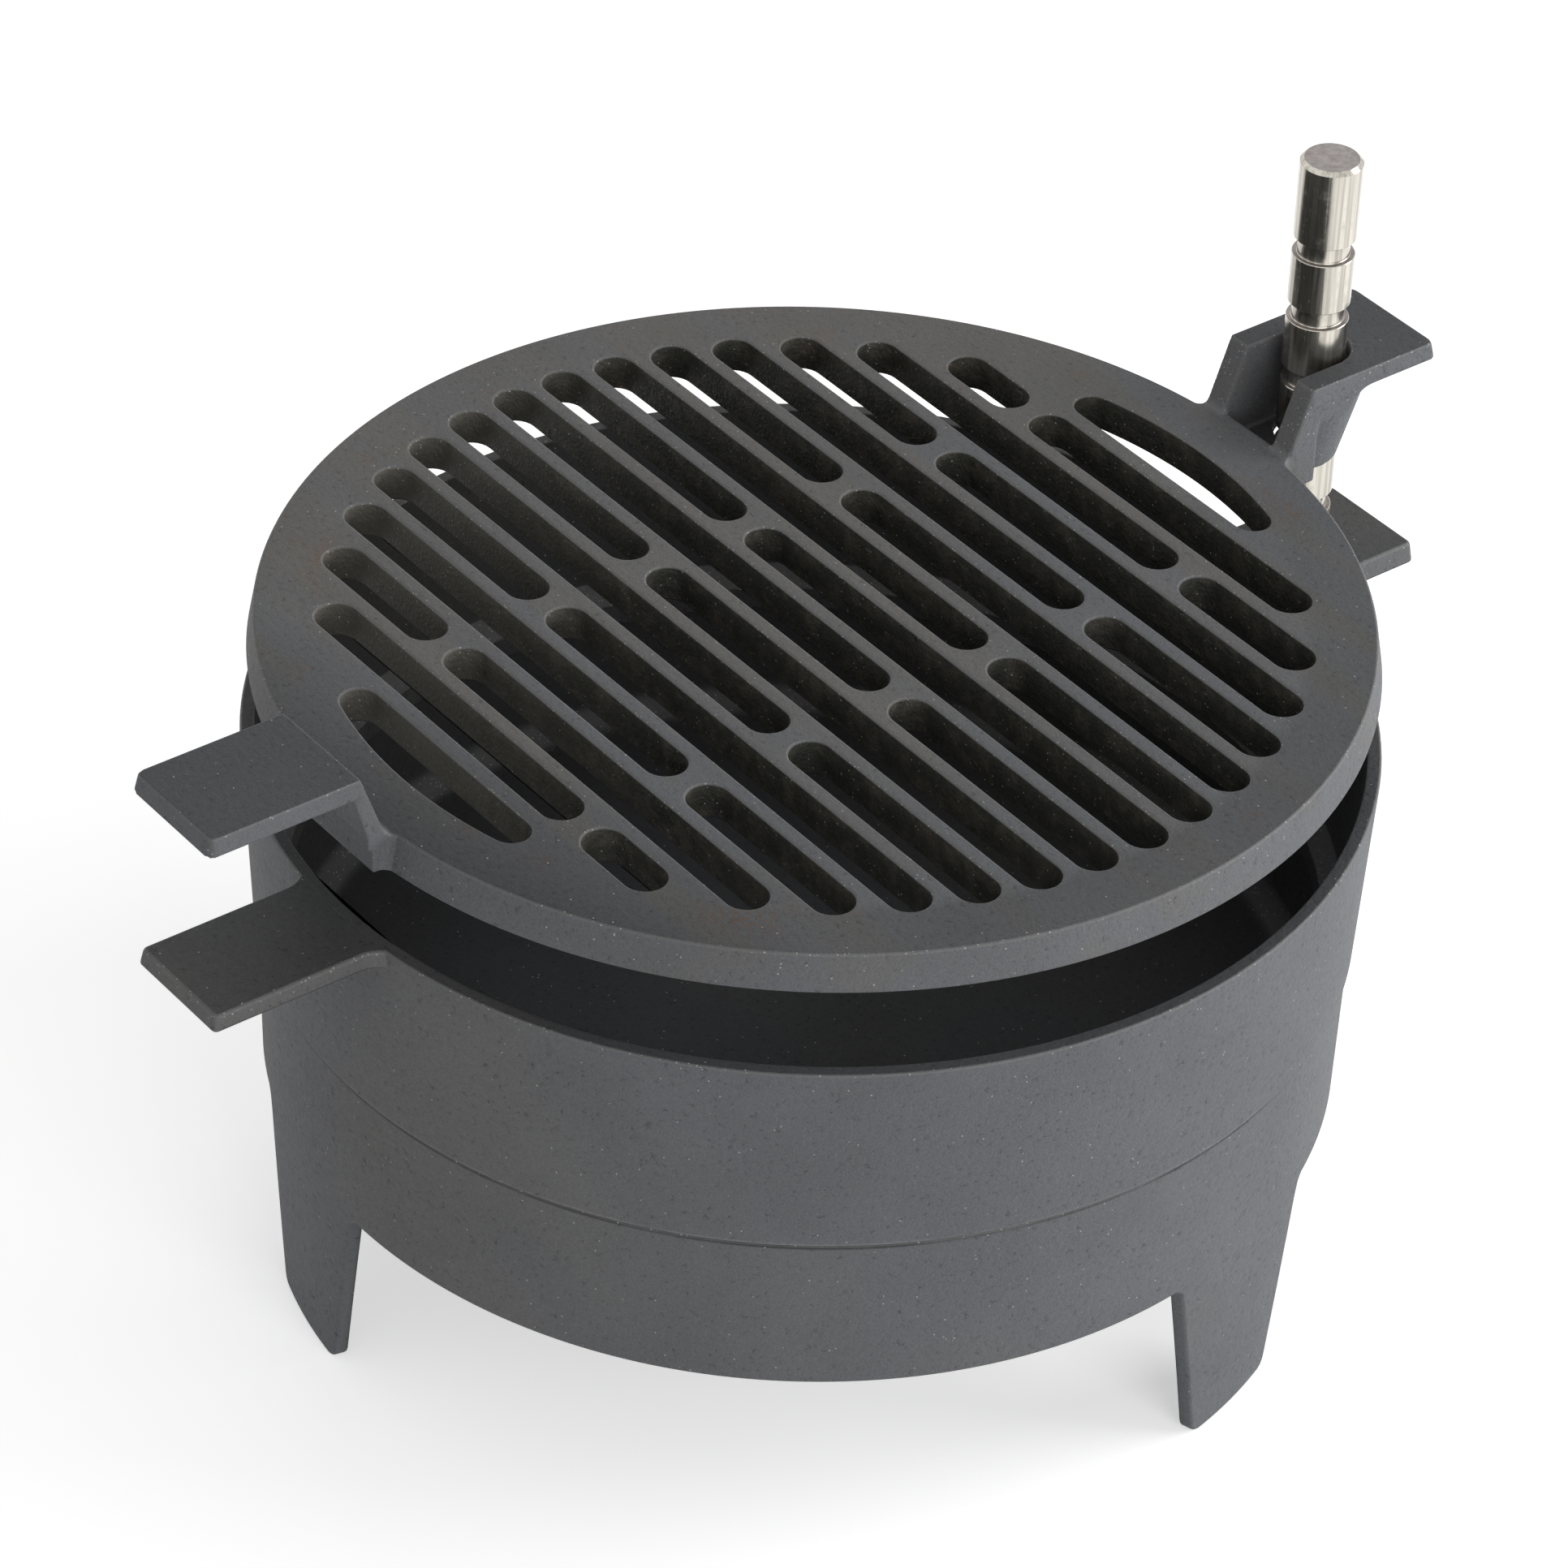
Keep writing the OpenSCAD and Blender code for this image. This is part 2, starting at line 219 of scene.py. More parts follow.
def settled(piece):
    """Applies a piece's modifiers."""
    graph = bpy.context.evaluated_depsgraph_get()
    mesh = bpy.data.meshes.new_from_object(piece.evaluated_get(graph), depsgraph=graph)
    piece.modifiers.clear()
    mesh.name = piece.name
    old, piece.data = piece.data, mesh
    bpy.data.meshes.remove(old)


def worked(piece, how, tool):
    """Joins a tool solid to a piece, or cuts with it, and clears the tool away."""
    step = piece.modifiers.new("step", "BOOLEAN")
    step.solver = "EXACT"
    step.operation = how
    step.object = tool
    settled(piece)
    bpy.data.objects.remove(tool)
    bm = bmesh.new()
    bm.from_mesh(piece.data)
    bmesh.ops.remove_doubles(bm, verts=bm.verts, dist=1e-5)
    bmesh.ops.dissolve_degenerate(bm, edges=bm.edges, dist=1e-5)
    bm.to_mesh(piece.data)
    bm.free()


def rounded(piece, width, limit=38.0):
    """Rounds the sharp edges and keeps the broad faces flat to the light."""
    edge = piece.modifiers.new("edges", "BEVEL")
    edge.width = width
    edge.segments = 3
    edge.profile = 0.5
    edge.limit_method = "ANGLE"
    edge.angle_limit = radians(limit)
    edge.use_clamp_overlap = False
    settled(piece)
    piece.data.shade_smooth()
    even = piece.modifiers.new("even", "WEIGHTED_NORMAL")
    even.weight = 60
    settled(piece)


def times(tree, a, b):
    """The product of two numbers or links of a material."""
    return figure(tree, "MULTIPLY", a, b)


def noise(tree, place, scale, detail, rough):
    """A cloudy value; scale is in clouds to the metre."""
    made = node(tree, "ShaderNodeTexNoise", Vector=place, Scale=scale, Detail=detail, Roughness=rough)
    return made.outputs["Fac"]


def spread(tree, value, low, high, to_low=0.0, to_high=1.0):
    """Spreads part of a value's range over another range."""
    made = node(tree, "ShaderNodeMapRange", Value=value, From_Min=low, From_Max=high,
                To_Min=to_low, To_Max=to_high)
    return made.outputs["Result"]


def blended(tree, share, a, b):
    """A colour between two colours."""
    made = tree.nodes.new("ShaderNodeMix")
    made.data_type = "RGBA"
    for socket, value in ((made.inputs[0], share), (made.inputs[6], a), (made.inputs[7], b)):
        if isinstance(value, bpy.types.NodeSocket):
            tree.links.new(value, socket)
        else:
            socket.default_value = value
    return made.outputs[2]


def shaded(tree, colour, value):
    """A colour made lighter or darker."""
    return node(tree, "ShaderNodeHueSaturation", Color=colour, Value=value).outputs["Color"]


def cast_iron(name, shade, warmth, soot_and_shade, film, top_shade, top_shade_from, painted_seam_band=None):
    """Sand-cast iron, oiled and a little worn.

    shade: how light it is. warmth: how much of it is warm grey. soot: how much darker it is
    inside, sooted and with painted shade in the deep bowl. film: how much dark film the walls
    of its openings carry. handled: how much painted shade darkens its tops outside the radius
    top_shade_from and its front and right border. band: two heights and how light the iron is
    beyond the second: a painted shadow on the stand under the seam, a painted highlight on
    the ring's lower edge above it. The rounded edges are lighter, partly worn and partly a
    painted highlight.
    """
    skin = bpy.data.materials.new(name)
    skin.use_nodes = True
    tree = skin.node_tree
    shader = tree.nodes["Principled BSDF"]
    texture = tree.nodes.new("ShaderNodeTexCoord")
    at = texture.outputs["Object"]
    facing = node(tree, "ShaderNodeSeparateXYZ", Vector=texture.outputs["Normal"])
    spot = node(tree, "ShaderNodeSeparateXYZ", Vector=at)
    x, y, z = spot.outputs["X"], spot.outputs["Y"], spot.outputs["Z"]
    up = facing.outputs["Z"]
    out = figure(tree, "SQRT", figure(tree, "ADD", times(tree, x, x), times(tree, y, y)))

    grain = noise(tree, at, 1500.0, 3.0, 0.6)
    sand = noise(tree, at, 480.0, 4.0, 0.6)
    cloud = noise(tree, at, 26.0, 4.0, 0.6)
    lengthwise = node(tree, "ShaderNodeMapping", Vector=at, Scale=(0.10, 1.0, 1.0)).outputs[0]
    stain = noise(tree, lengthwise, 55.0, 2.0, 0.5) if film else noise(tree, at, 7.0, 2.0, 0.5)

    # cool and warm grey, clouded, with the grain of the sand
    cold = (0.097 * shade, 0.100 * shade, 0.107 * shade, 1.0)
    warm = (0.104 * shade, 0.101 * shade, 0.095 * shade, 1.0)
    leftward = spread(tree, x, 0.15, -0.15, warmth - 0.5, warmth + 0.5)
    warm_share = figure(tree, "ADD", spread(tree, stain, 0.40, 0.60, -0.5, 0.5), leftward)
    if film:
        warm_share = times(tree, warm_share, spread(tree, out, 0.185, 0.168))
    colour = blended(tree, warm_share, cold, warm)
    clouded = spread(tree, cloud, 0.3, 0.7, 0.93, 1.07)
    tone = figure(tree, "ADD", clouded, spread(tree, grain, 0.3, 0.7, -0.16, 0.16))
    pits = spread(tree, sand, 0.40, 0.30, 0.0, 0.35)
    colour = shaded(tree, colour, figure(tree, "SUBTRACT", tone, pits))

    # soot on the inner walls, made darker still as painted shade in the deep bowl
    if soot_and_shade:
        inwards = node(tree, "ShaderNodeVectorMath", Vector=at)
        inwards.operation = "DOT_PRODUCT"
        tree.links.new(texture.outputs["Normal"], inwards.inputs[1])
        turned_in = spread(tree, inwards.outputs["Value"], 0.02, -0.04)
        inner = figure(tree, "MAXIMUM", turned_in, spread(tree, out, 0.166, 0.160))
        colour = blended(tree, inner, colour, shaded(tree, colour, 1.0 - soot_and_shade))

    # brown film on the walls of the openings, rust on the border by the slots' ends
    if film:
        steep = spread(tree, figure(tree, "ABSOLUTE", up), 0.75, 0.25)
        walls = times(tree, steep, spread(tree, out, 0.158, 0.154))
        patch = spread(tree, noise(tree, at, 130.0, 6.0, 0.7), 0.46, 0.72)
        thick_film = (0.032, 0.032, 0.026, 1.0)
        thin_film = (0.100, 0.092, 0.073, 1.0)
        light_olive = (0.125, 0.121, 0.103, 1.0)
        brown = blended(tree, patch, thick_film, thin_film)
        # the walls lighter olive towards the left end of the plate
        leftness = figure(tree, "ADD", times(tree, x, -0.6), times(tree, y, -0.8))
        leftness = figure(tree, "ADD", leftness, spread(tree, patch, 0.0, 1.0, -0.01, 0.02))
        brown = blended(tree, spread(tree, leftness, 0.035, 0.105, 0.0, 0.9), brown, light_olive)
        # the film darker further down the walls: partly soot, partly painted shade deep in the slots
        brown = shaded(tree, brown, spread(tree, z, 0.2285, 0.2190, 1.0, 0.65))
        colour = blended(tree, times(tree, walls, film), colour, brown)
        border = times(tree, spread(tree, out, 0.142, 0.152), spread(tree, out, 0.168, 0.160))
        bloom = spread(tree, noise(tree, at, 40.0, 3.0, 0.6), 0.55, 0.70, 0.0, 0.75)
        dots = spread(tree, noise(tree, at, 620.0, 2.0, 0.5), 0.42, 0.58)
        rust = times(tree, times(tree, border, bloom), dots)
        colour = blended(tree, rust, colour, (0.135, 0.092, 0.066, 1.0))

    # painted shade: the up-facing tops of the plates and of the front and right border made darker
    flat_top = spread(tree, up, 0.55, 0.93)
    frontward = figure(tree, "SUBTRACT", times(tree, x, 0.26), times(tree, y, 0.97))
    front_border = times(tree, spread(tree, frontward, 0.108, 0.168, 0.0, 1.45),
                         spread(tree, out, 0.174, 0.170))
    top_shade_share = figure(tree, "MAXIMUM", spread(tree, out, top_shade_from, top_shade_from + 0.006), front_border)
    side_border = times(tree, spread(tree, x, 0.02, 0.15, 0.0, 0.68), spread(tree, out, 0.146, 0.152))
    top_shade_share = figure(tree, "MAXIMUM", top_shade_share, side_border)
    top_shade_share = times(tree, times(tree, flat_top, top_shade_share), top_shade)
    colour = shaded(tree, colour, figure(tree, "SUBTRACT", 1.0, top_shade_share))

    # painted shadow on the stand under the ring's overhang at the seam, and a painted highlight on the
    # ring's lower edge above it
    if painted_seam_band:
        uneven = spread(tree, noise(tree, at, 26.0, 3.0, 0.6), 0.36, 0.58, 0.35, 1.0)
        seam = times(tree, spread(tree, z, painted_seam_band[0], painted_seam_band[1]), uneven)
        colour = shaded(tree, colour, spread(tree, seam, 0.0, 1.0, 1.0, painted_seam_band[2]))

    # bright bare specks, closer together along the rounded edges
    edge = times(tree, spread(tree, up, 0.15, 0.45), spread(tree, up, 0.99, 0.90))
    cells = node(tree, "ShaderNodeTexVoronoi", Vector=at, Scale=850.0)
    chance = node(tree, "ShaderNodeSeparateColor", Color=cells.outputs["Color"]).outputs[0]
    level = figure(tree, "SUBTRACT", 0.976, times(tree, edge, 0.42))
    if film:
        level = figure(tree, "SUBTRACT", level, times(tree, walls, 0.07))
    speck = spread(tree, cells.outputs["Distance"], 0.26, 0.12)
    lit = times(tree, figure(tree, "GREATER_THAN", chance, level), speck)
    # the rounded edges lighter: partly wear, partly a painted highlight
    colour = blended(tree, times(tree, edge, 0.50), colour, (0.18, 0.18, 0.178, 1.0))
    colour = blended(tree, lit, colour, (0.44, 0.44, 0.43, 1.0))
    tree.links.new(colour, shader.inputs["Base Color"])

    # dull where sandy, a little glossier on worn edges and where the film is baked on
    rough = spread(tree, sand, 0.3, 0.7, 0.70, 0.56)
    rough = figure(tree, "SUBTRACT", rough, times(tree, edge, 0.14))
    if film:
        baked = spread(tree, grain, 0.45, 0.65, 0.0, 0.24)
        rough = figure(tree, "SUBTRACT", rough, times(tree, walls, baked))
    tree.links.new(rough, shader.inputs["Roughness"])
    shader.inputs["Specular IOR Level"].default_value = 0.22
    height = figure(tree, "ADD", times(tree, sand, 0.8), times(tree, grain, 0.35))
    if film:
        crust = times(tree, noise(tree, at, 800.0, 3.0, 0.6), walls)
        height = figure(tree, "ADD", height, times(tree, crust, 1.4))
    bump = node(tree, "ShaderNodeBump", Height=height, Strength=0.8, Distance=0.0006)
    tree.links.new(bump.outputs["Normal"], shader.inputs["Normal"])
    return skin


def stand_outer(z):
    """The stand's outer radius at a height."""
    return foot_r + (seam_r - foot_r) * z / seam_h


low_r = stand_outer(plate_high) - stand_wall
stand = turned(
    [(0.0, plate_low), (stand_outer(plate_low) - stand_wall, plate_low),
     (stand_outer(below_floor) - stand_wall, below_floor), (stand_outer(below_floor), below_floor),
     (seam_r, seam_h - seam_gap), (seam_r - stand_wall, seam_h - seam_gap)]
    + arc(low_r - plate_hollow, plate_high + plate_hollow, plate_hollow, 0, -90, 8)
    + [(0.0, plate_high)],
    casting_steps, "stand_casting")
keep = turned([(0.0, leg_h), (clear_r, leg_h), (clear_r, clear_z), (0.0, clear_z)], 96, "keep")
half = leg_foot / 2
lean = (leg_top - leg_foot) / 2
length = hypot(lean, leg_h)
tilt = degrees(atan2(lean, leg_h))
hollow_z = leg_h + leg_lap - leg_hollow
hollow_x = half + lean * (hollow_z + leg_hollow * lean / length) / leg_h + leg_hollow * leg_h / length
corner_x = half + (lean - length) * leg_corner / leg_h
side = (arc(corner_x, leg_corner, leg_corner, -90, -tilt, 6)
        + arc(hollow_x, hollow_z, leg_hollow, 180 - tilt, 90, 8)
        + [(hollow_x, leg_h + leg_rise)])
outline = side + [(-x, z) for x, z in reversed(side)]
for i in range(leg_count):
    turn = Matrix.Rotation(radians(leg_turn + 360 / leg_count * i), 3, "Z")
    leg_side = [turn @ Vector((leg_from, x, z)) for x, z in outline]
    worked(keep, "UNION", prism(leg_side, (0, 0, 0), turn @ Vector((leg_run, 0, 0)), "leg"))
worked(stand, "INTERSECT", keep)
rounded(stand, casting_edge)
# the darker top of the stand is painted shadow under the ring's overhang
stand.data.materials.append(cast_iron(
    "stand_iron", shade=1.2, warmth=0.15, soot_and_shade=0.54, film=0.0, top_shade=0.0, top_shade_from=1.0,
    painted_seam_band=(0.1200, 0.1208, 0.25)))
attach(stand, "stand")
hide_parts("stand")

# ---------------------------------------------------------------- fire ring
# Upper casting: a round wall that widens to its rim, with a skirt that goes
# down inside the stand, a flat tab in front and a thicker, lower tab behind
# that carries the post.
rim_h = 0.189
ring_r = 0.1715
rim_r = 0.1745
ring_wall = 0.0045
rim_outer_round = 0.0010
rim_inner_round = 0.0007
ring_foot_edge = 0.0009
ring_edge = 0.0006
skirt_gap = 0.0004
skirt_thick = 0.0035
skirt_deep = 0.006
skirt_inner_rise = 0.002
skirt_rise = 0.008
skirt_r = seam_r - stand_wall - skirt_gap
skirt_in = skirt_r - skirt_thick
tab_half = 0.0205
tab_end = 0.231
tab_corner = 0.002
tab_draft = (0.0007, 0.0012)
tab_hollow = 0.010
tab_edge = 0.0013
front_tab = (rim_h - 0.006, rim_h - 0.00006)
front_lap = (0.002, 0.0034)
rear_tab = (0.1675, 0.1755)
rear_lap = (0.0005, 0.0022)


def ring_outer(z):
    """The ring's outer radius at a height."""
    return ring_r + (rim_r - ring_r) * (z - seam_h) / (rim_h - seam_h)


ring = turned(
    [(skirt_in, seam_h + skirt_inner_rise), (skirt_in, seam_h - skirt_deep),
     (skirt_r, seam_h - skirt_deep), (skirt_r, seam_h),
     (ring_r - ring_foot_edge, seam_h), (ring_r, seam_h + ring_foot_edge)]
    + arc(rim_r - rim_outer_round, rim_h - rim_outer_round, rim_outer_round, 0, 90, 5)
    + arc(rim_r - ring_wall + rim_inner_round, rim_h - rim_inner_round, rim_inner_round, 90, 180, 4)
    + [(ring_outer(seam_h + skirt_rise) - ring_wall, seam_h + skirt_rise)],
    casting_steps, "ring_casting")
rounded(ring, ring_edge)


def tab_plan(wall_r, root_r, sign):
    """Plan of a tab on the +Y or -Y side, with hollow curves where it leaves the wall."""
    fx = tab_half + tab_hollow
    fy = sqrt((wall_r + tab_hollow) ** 2 - fx ** 2)
    a = degrees(atan2(fy, fx))
    x, y = tab_half - tab_corner, tab_end - tab_corner
    half_plan = arc(fx, fy, tab_hollow, 180 + a, 180, 9) + arc(x, y, tab_corner, 0, 90, 6)
    root = arc(0, 0, root_r, 180 - a, a, 10)
    plan = root + half_plan + [(-px, py) for px, py in reversed(half_plan)]
    return [(px, sign * py, 0.0) for px, py in plan]


def drawn_in(piece, heights):
    """Draws a plate's sides and end in towards its top, as the pattern's draft does."""
    low, high = heights
    for v in piece.data.vertices:
        share = (v.co.z - low) / (high - low)
        v.co.x -= tab_draft[0] * share * v.co.x / tab_half
        if abs(v.co.y) > tab_end - 0.01:
            v.co.y -= tab_draft[1] * share * (1 if v.co.y > 0 else -1)


def tab(wall_r, lap, sign, heights):
    """A tab whose hollow curves and root lie the two laps inside the wall's radius."""
    low, high = heights
    plan = tab_plan(wall_r - lap[0], wall_r - lap[1], sign)
    piece = prism(plan, (0, 0, low), (0, 0, high - low), "tab")
    drawn_in(piece, heights)
    rounded(piece, tab_edge, 50.0)
    return piece


front = tab(rim_r, front_lap, -1, front_tab)
rear = tab(ring_outer(rear_tab[0]), rear_lap, 1, rear_tab)
with bpy.context.temp_override(active_object=ring, selected_editable_objects=[ring, front, rear]):
    bpy.ops.object.join()
ring.data.materials.clear()
# the lighter foot of the ring is a painted highlight on its lower edge
ring.data.materials.append(cast_iron(
    "ring_iron", shade=1.2, warmth=0.15, soot_and_shade=0.54, film=0.0, top_shade=0.43, top_shade_from=0.165,
    painted_seam_band=(0.1238, 0.1228, 1.45)))
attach(ring, "fire_ring")
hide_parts("fire_ring")

# ---------------------------------------------------------------- grate
# A round cast iron plate with 28 slots in 14 rows and two curved openings. It
# is one casting with the handle and the bracket of the next section.
grate_r = 0.170
grate_low = 0.2169
grate_high = 0.2294
grate_flare = 0.0022
border_wide = 0.0186
field_r = grate_r - border_wide
rows = 14
slot_r = 0.0068
slot_pitch = 0.0187
bar_wide = 0.0051
web_wide = 0.0078
web_half = (web_wide + 2 * slot_r) / 2
web_out = 0.048
crescent_bar = 0.0058
crescent_y = rows / 2 * slot_pitch - bar_wide / 2 + crescent_bar
crescent_r = 0.006
soft_edge = 0.0009
rim_zone = 0.01

loops = [arc(0, 0, grate_r, 0, 360, 240)[:-1]]
for i in range(rows):
    y = (i - (rows - 1) / 2) * slot_pitch
    end = sqrt((field_r - slot_r) ** 2 - y ** 2)
    web = web_out if i % 2 == 0 else -web_out
    for x0, x1 in ((-end, web - web_half), (web + web_half, end)):
        loops.append(arc(x1, y, slot_r, -90, 90, 14) + arc(x0, y, slot_r, 90, 270, 14))
cy = crescent_y + crescent_r
cx = sqrt((field_r - crescent_r) ** 2 - cy ** 2)
a = degrees(atan2(cy, cx))
curved = (arc(cx, cy, crescent_r, -90, a, 10) + arc(0, 0, field_r, a, 180 - a, 30)[1:-1]
          + arc(-cx, cy, crescent_r, 180 - a, 270, 10))
loops += [curved, [(x, -y) for x, y in curved]]
plan = bpy.data.curves.new("plan", "CURVE")
plan.dimensions = "2D"
plan.fill_mode = "BOTH"
plan.extrude = (grate_high - grate_low) / 2 - soft_edge
plan.bevel_depth = soft_edge
plan.bevel_resolution = 2
plan.offset = -soft_edge
for loop in loops:
    spline = plan.splines.new("POLY")
    spline.points.add(len(loop) - 1)
    for point, (x, y) in zip(spline.points, loop):
        point.co = (x, y, 0.0, 1.0)
    spline.use_cyclic_u = True
drawn = bpy.data.objects.new("drawn", plan)
scene.collection.objects.link(drawn)
graph = bpy.context.evaluated_depsgraph_get()
flat = bpy.data.meshes.new_from_object(drawn.evaluated_get(graph), depsgraph=graph)
bpy.data.objects.remove(drawn)
bm = bmesh.new()
bm.from_mesh(flat)
bmesh.ops.translate(bm, vec=(0, 0, (grate_high + grate_low) / 2), verts=bm.verts)
for v in bm.verts:
    r = hypot(v.co.x, v.co.y)
    if r > field_r + rim_zone:
        grow = 1 + grate_flare * (grate_high - v.co.z) / (grate_high - grate_low) / grate_r
        v.co.x *= grow
        v.co.y *= grow
grate = shown(bm, "grate_plate")
grate.data.shade_smooth()
even = grate.modifiers.new("even", "WEIGHTED_NORMAL")
even.weight = 60
settled(grate)

# ---------------------------------------------------------------- handle and bracket
# Flat plates raised on sloped webs from the grate's edge, with the soft corners
# that the sand mould leaves. The bracket holds the post in a channel with a floor.
plate_low_z = 0.246
plate_high_z = 0.252
neck_half = 0.020
neck_foot = grate_r + 0.001
neck_top = neck_foot + 0.0083
neck_thick = 0.006
root_hollow = 0.004
post_y = 0.1968
post_r = 0.010
channel_half = 0.0116
channel_in = 0.1727
channel_floor = 0.0035
foot_hollow = 0.003
ear_y = 0.183
boss_low_r = 0.015
boss_high_r = 0.0210
boss_shift = 0.0068
boss_end_y = 0.225
saddle_r = 0.0052
saddle_x = 0.0262
saddle_z = plate_low_z - 0.0050
flush = 0.0002
casting_grain = 0.0006


def softened(piece, grain, rounds):
    """Gives a joined solid the soft edges and hollow corners of a casting."""
    skin = piece.modifiers.new("skin", "REMESH")
    skin.mode = "VOXEL"
    skin.voxel_size = grain
    skin.use_smooth_shade = True
    relax = piece.modifiers.new("relax", "SMOOTH")
    relax.factor = 0.5
    relax.iterations = rounds
    settled(piece)
    piece.data.shade_smooth()


def root_plan(wall, sign, outer_y, z):
    """Plan of a web's root beside the plate, hollowed where it meets the plate's rim."""
    fx = neck_half + root_hollow
    fy = sqrt((wall + root_hollow) ** 2 - fx ** 2)
    a = degrees(atan2(fy, fx))
    side_plan = arc(fx, fy, root_hollow, 180 + a, 180, 6) + [(neck_half, outer_y)]
    root = arc(0, 0, wall - 0.005, 180 - a, a, 6)
    plan = root + side_plan + [(-x, y) for x, y in reversed(side_plan)]
    return [Vector((x, sign * y, z)) for x, y in plan]


def neck_root(sign, outer_y, name):
    """The web's root, as deep as the plate; it follows the flare of the plate's rim."""
    low = root_plan(grate_r + grate_flare - flush, sign, outer_y, grate_low)
    high = root_plan(grate_r - flush, sign, outer_y, grate_high - 0.0001)
    bm = bmesh.new()
    face = bm.faces.new([bm.verts.new(p) for p in low])
    grown = bmesh.ops.extrude_face_region(bm, geom=[face])
    top = [v for v in grown["geom"] if isinstance(v, bmesh.types.BMVert)]
    for v in top:
        nearest = min(range(len(low)), key=lambda n: (low[n] - v.co).length)
        v.co = high[nearest]
    return shown(bm, name)


def handle_plate(sign):
    """The flat plate that is held, as wide and as long as the tab under it."""
    end = arc(tab_half - tab_corner, tab_end - tab_corner, tab_corner, 0, 90, 6)
    plan = [(-tab_half, neck_top), (tab_half, neck_top)] + end + [(-px, py) for px, py in reversed(end)]
    piece = prism([(px, sign * py, 0.0) for px, py in plan],
                  (0, 0, plate_low_z), (0, 0, plate_high_z - plate_low_z), "plate")
    drawn_in(piece, (plate_low_z, plate_high_z))
    return piece


def web(sign, outline):
    """A sloped web as wide as the neck, from its outline of (y, z) points."""
    side_face = [(-neck_half, sign * y, z) for y, z in outline]
    return prism(side_face, (0, 0, 0), (2 * neck_half, 0, 0), "web")


slope = (neck_top - neck_foot) / (plate_high_z - grate_high)
lean_angle = degrees(atan2(1, slope))
hollow_run = foot_hollow * sin(radians(lean_angle / 2)) / cos(radians(lean_angle / 2))
foot_curve = arc(neck_foot - hollow_run, grate_high + foot_hollow, foot_hollow, lean_angle - 90, -90, 6)
foot_curve.append((neck_foot - hollow_run - 0.003, grate_high - 0.0008))
# both webs end alike, just inside the plate's inner edge
web_end = [(neck_top + 0.0006, plate_high_z - flush), (neck_top - 0.0001, plate_high_z - flush)]
web_end += foot_curve
web_in = neck_foot - 0.008
web_back = neck_foot + neck_thick
under = neck_foot + slope * (plate_low_z - grate_high) + neck_thick - 0.001
handle = neck_root(-1, web_back - 0.0016, "grate_handle")
worked(handle, "UNION", web(-1, [
    (web_in, grate_high - 0.004), (web_back, grate_high - 0.004), (web_back, grate_high),
    (under, plate_low_z), (under + 0.0012, plate_low_z + 0.001)] + web_end))
worked(handle, "UNION", handle_plate(-1))
softened(handle, casting_grain, 7)

bracket = neck_root(1, ear_y, "grate_bracket")
worked(bracket, "UNION", web(1, [
    (web_in, grate_high - 0.006), (ear_y, grate_high - 0.006), (ear_y, plate_low_z + 0.001)] + web_end))
worked(bracket, "UNION", handle_plate(1))
boss = turned(
    [(0.0, grate_low), (boss_low_r, grate_low), (boss_high_r, saddle_z)]
    + arc(saddle_x, saddle_z, saddle_r, 180, 100, 6)
    + [(saddle_x, plate_low_z + 0.001), (0.0, plate_low_z + 0.001)],
    96, "boss")
boss.data.transform(Matrix.Translation((0, post_y - boss_shift, 0)))
boss_y = ear_y - 0.001
worked(boss, "INTERSECT", prism(
    [(-neck_half, boss_y, 0), (neck_half, boss_y, 0),
     (neck_half, boss_end_y, 0), (-neck_half, boss_end_y, 0)],
    (0, 0, grate_low - 0.001), (0, 0, 0.04), "cut"))
worked(bracket, "UNION", boss)


def well(r, low, high):
    """A round cutter about the post."""
    hole = turned([(0.0, low), (r, low), (r, high), (0.0, high)], 64, "well")
    hole.data.transform(Matrix.Translation((0, post_y, 0)))
    return hole


def trough(y0, low, high):
    """A straight cutter from y0 out to the post."""
    return prism([(-channel_half, y0, low), (channel_half, y0, low), (channel_half, post_y, low),
                  (-channel_half, post_y, low)], (0, 0, 0), (0, 0, high - low), "trough")


# the channel below and above the grate's top, then the post's room from the floor
# up, its hole through the floor and the channel's round end in the bar and the plate;
# they stop at heights of their own, so that no two faces lie in one plane
floor_z = grate_low + channel_floor
for cutter in (
    trough(channel_in, floor_z, grate_high + 0.002),
    trough(0.160, grate_high + 0.0001, 0.254),
    well(post_r + 0.0006, grate_low + 0.0030, 0.2543),
    well(post_r + 0.0003, grate_low - 0.0016, grate_low + 0.004),
    well(channel_half, floor_z, grate_low + 0.016),
    well(channel_half, plate_low_z, 0.2546),
):
    worked(bracket, "DIFFERENCE", cutter)
softened(bracket, casting_grain, 9)
grate_iron = cast_iron(
    "grate_iron", shade=1.18, warmth=0.55, soot_and_shade=0.0, film=0.95, top_shade=0.44, top_shade_from=0.172)
for piece in (grate, handle, bracket):
    piece.data.materials.clear()
    piece.data.materials.append(grate_iron)
    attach(piece, "grate")
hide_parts("grate")

# ---------------------------------------------------------------- post
# A bar of stainless steel, 20 mm thick, with five turned grooves; the grate
# rests in the third. Its stud goes through the rear tab and is held below by
# a washer and a nut.
seat_h = 0.1755
post_top = 0.321
post_chamfer = 0.0013
groove_count = 5
groove_first = 0.028
groove_pitch = 0.0235
groove_tall = 0.0058
groove_deep = 0.0017
groove_round = 0.0003
groove_low_edge = 0.0002
groove_top_edge = 0.0004
stud_r = 0.006
stud_low = seat_h - 0.0225
stud_edge = 0.0008
thread_low = stud_low + 0.0014
thread_top = stud_low + 0.0018
thread_deep = 0.0006
profile = [(0.0, stud_low), (stud_r - stud_edge, stud_low), (stud_r, stud_low + stud_edge)]
